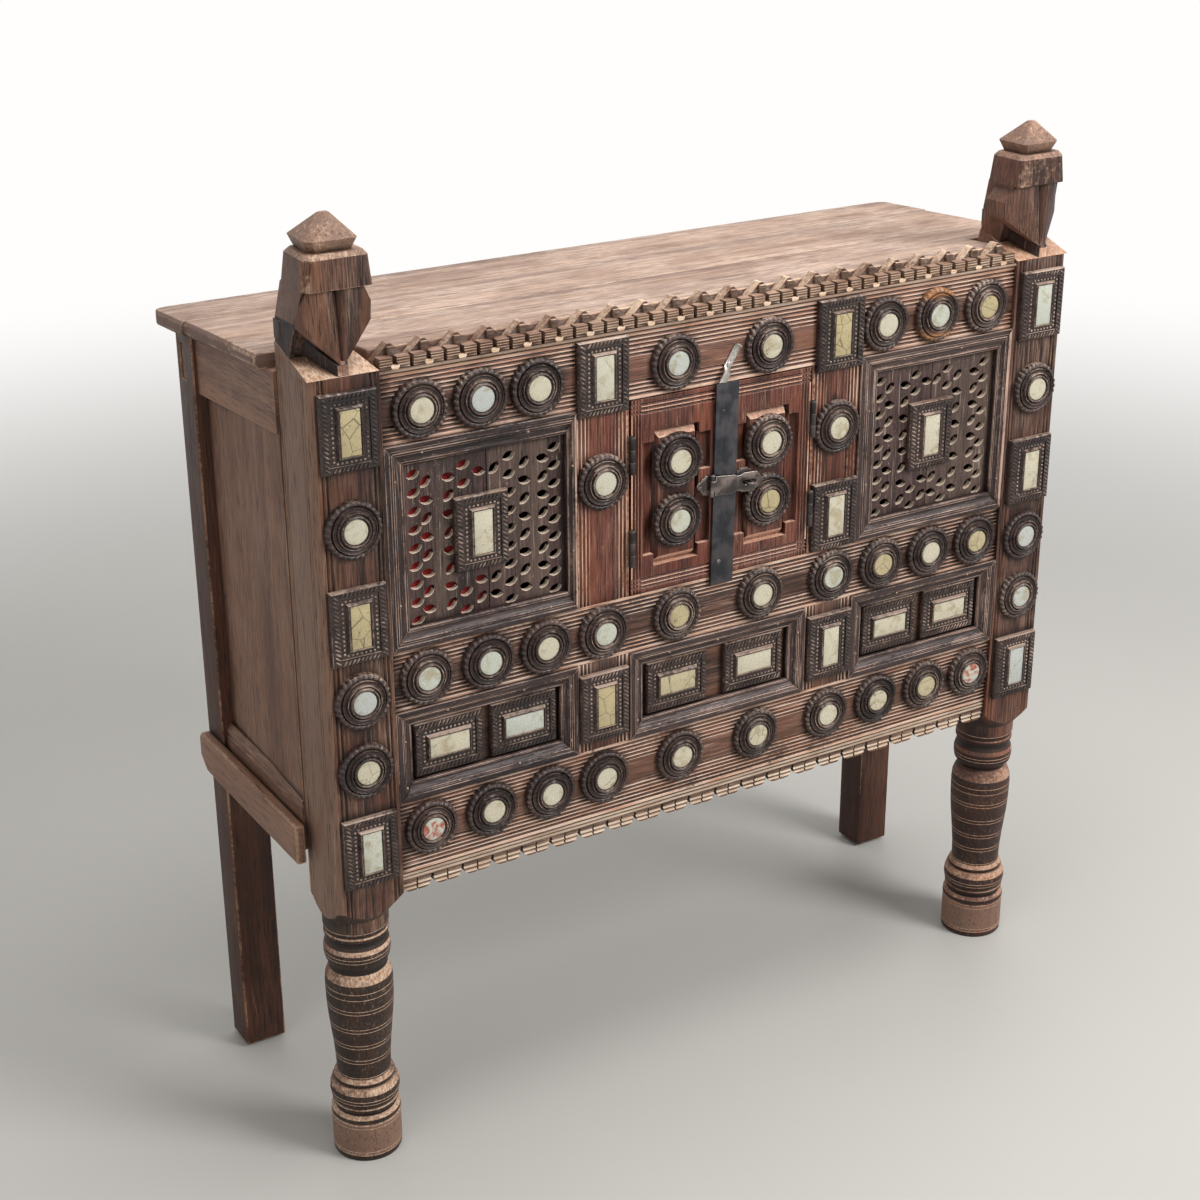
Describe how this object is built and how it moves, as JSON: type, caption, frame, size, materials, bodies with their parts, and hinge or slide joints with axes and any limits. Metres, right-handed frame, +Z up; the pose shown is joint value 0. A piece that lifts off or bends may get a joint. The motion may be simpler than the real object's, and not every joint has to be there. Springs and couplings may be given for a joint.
{
  "type": "dowry cabinet",
  "caption": "Carved wooden dowry cabinet on turned front legs, with mirrored bosses, pierced lattices, two small doors, a hasp and a turn catch.",
  "frame": {"origin": "middle of the footprint, on the floor", "axes": "+Z up, +X towards the right-hand end seen from the front, the front faces -Y"},
  "size_m": [1.18, 0.4476, 1.2543],
  "materials": {
    "dark_wood": "matte",
    "red_wood": "satin",
    "black_wood": "matte",
    "boss_wood": "satin",
    "crest_wood": "matte",
    "pale_wood": "matte",
    "side_wood": "matte",
    "rear_wood": "matte",
    "inner_wood": "matte",
    "dark_iron": "satin",
    "worn_steel": "satin",
    "mirror": "gloss",
    "red_cloth": "matte",
    "glide": "matte"
  },
  "bodies": {
    "carcass": {"left_front_post": "dark_wood", "right_front_post": "dark_wood", "left_rear_post": "rear_wood", "right_rear_post": "rear_wood", "rear_glides": "glide", "top_front_board": "pale_wood", "top_middle_board": "pale_wood", "top_rear_board": "pale_wood", "top_bearers": "inner_wood", "top_rail": "dark_wood", "mid_rail": "dark_wood", "bottom_rail": "dark_wood", "left_upper_stile": "red_wood", "right_upper_stile": "red_wood", "left_lower_stile": "dark_wood", "right_lower_stile": "dark_wood", "crest_bead": "crest_wood", "top_crest": "crest_wood", "bottom_crest": "crest_wood", "left_lattice": "black_wood", "right_lattice": "black_wood", "left_lattice_frame": "black_wood", "right_lattice_frame": "black_wood", "lattice_cloth": "red_cloth", "left_panel": "black_wood", "centre_panel": "black_wood", "right_panel": "black_wood", "panel_frames": "black_wood", "round_bosses": "boss_wood", "round_mirrors": "mirror", "rect_bosses": "boss_wood", "rect_mirrors": "mirror", "side_panels": "side_wood", "side_top_rails": "side_wood", "side_bottom_rails": "side_wood", "side_battens": "side_wood", "back_boards": "inner_wood", "back_rails": "inner_wood", "floor_boards": "inner_wood", "floor_bearers": "inner_wood", "fixed_hinges": "dark_iron", "hinge_pins": "dark_iron", "catch_rivet": "worn_steel"},
    "door_left": {"door_left_leaf": "red_wood", "door_left_ledges": "inner_wood", "door_left_bosses": "boss_wood", "door_left_mirrors": "mirror", "door_left_hinges": "dark_iron", "joint_bar": "dark_iron", "bar_nails": "dark_iron", "hasp_plate": "dark_iron", "hasp_pin": "dark_iron"},
    "hasp": {"hasp_strap": "dark_iron"},
    "door_right": {"door_right_leaf": "red_wood", "door_right_ledges": "inner_wood", "door_right_bosses": "boss_wood", "door_right_mirrors": "mirror", "door_right_hinges": "dark_iron", "staple": "dark_iron"},
    "turn_catch": {"turn_catch": "worn_steel"}
  },
  "joints": [
    {"name": "door_left", "type": "hinge", "parent": "carcass", "child": "door_left", "pos_m": [-0.139, -0.209, 0.85], "axis": [0, 0, -1], "range_deg": [0, 105]},
    {"name": "door_right", "type": "hinge", "parent": "carcass", "child": "door_right", "pos_m": [0.139, -0.209, 0.85], "axis": [0, 0, -1], "range_deg": [-105, 0]},
    {"name": "hasp", "type": "hinge", "parent": "door_left", "child": "hasp", "pos_m": [-0.0195, -0.2107, 0.8485], "axis": [-0.061, 0, -0.9981], "range_deg": [0, 105]},
    {"name": "turn_catch", "type": "hinge", "parent": "carcass", "child": "turn_catch", "pos_m": [0.0065, -0.204, 1.0045], "axis": [0, 1, 0], "range_deg": [-120, 15]}
  ],
  "couplings": [
    {"joint": "door_right", "follows": "door_left", "ratio": -1}
  ]
}
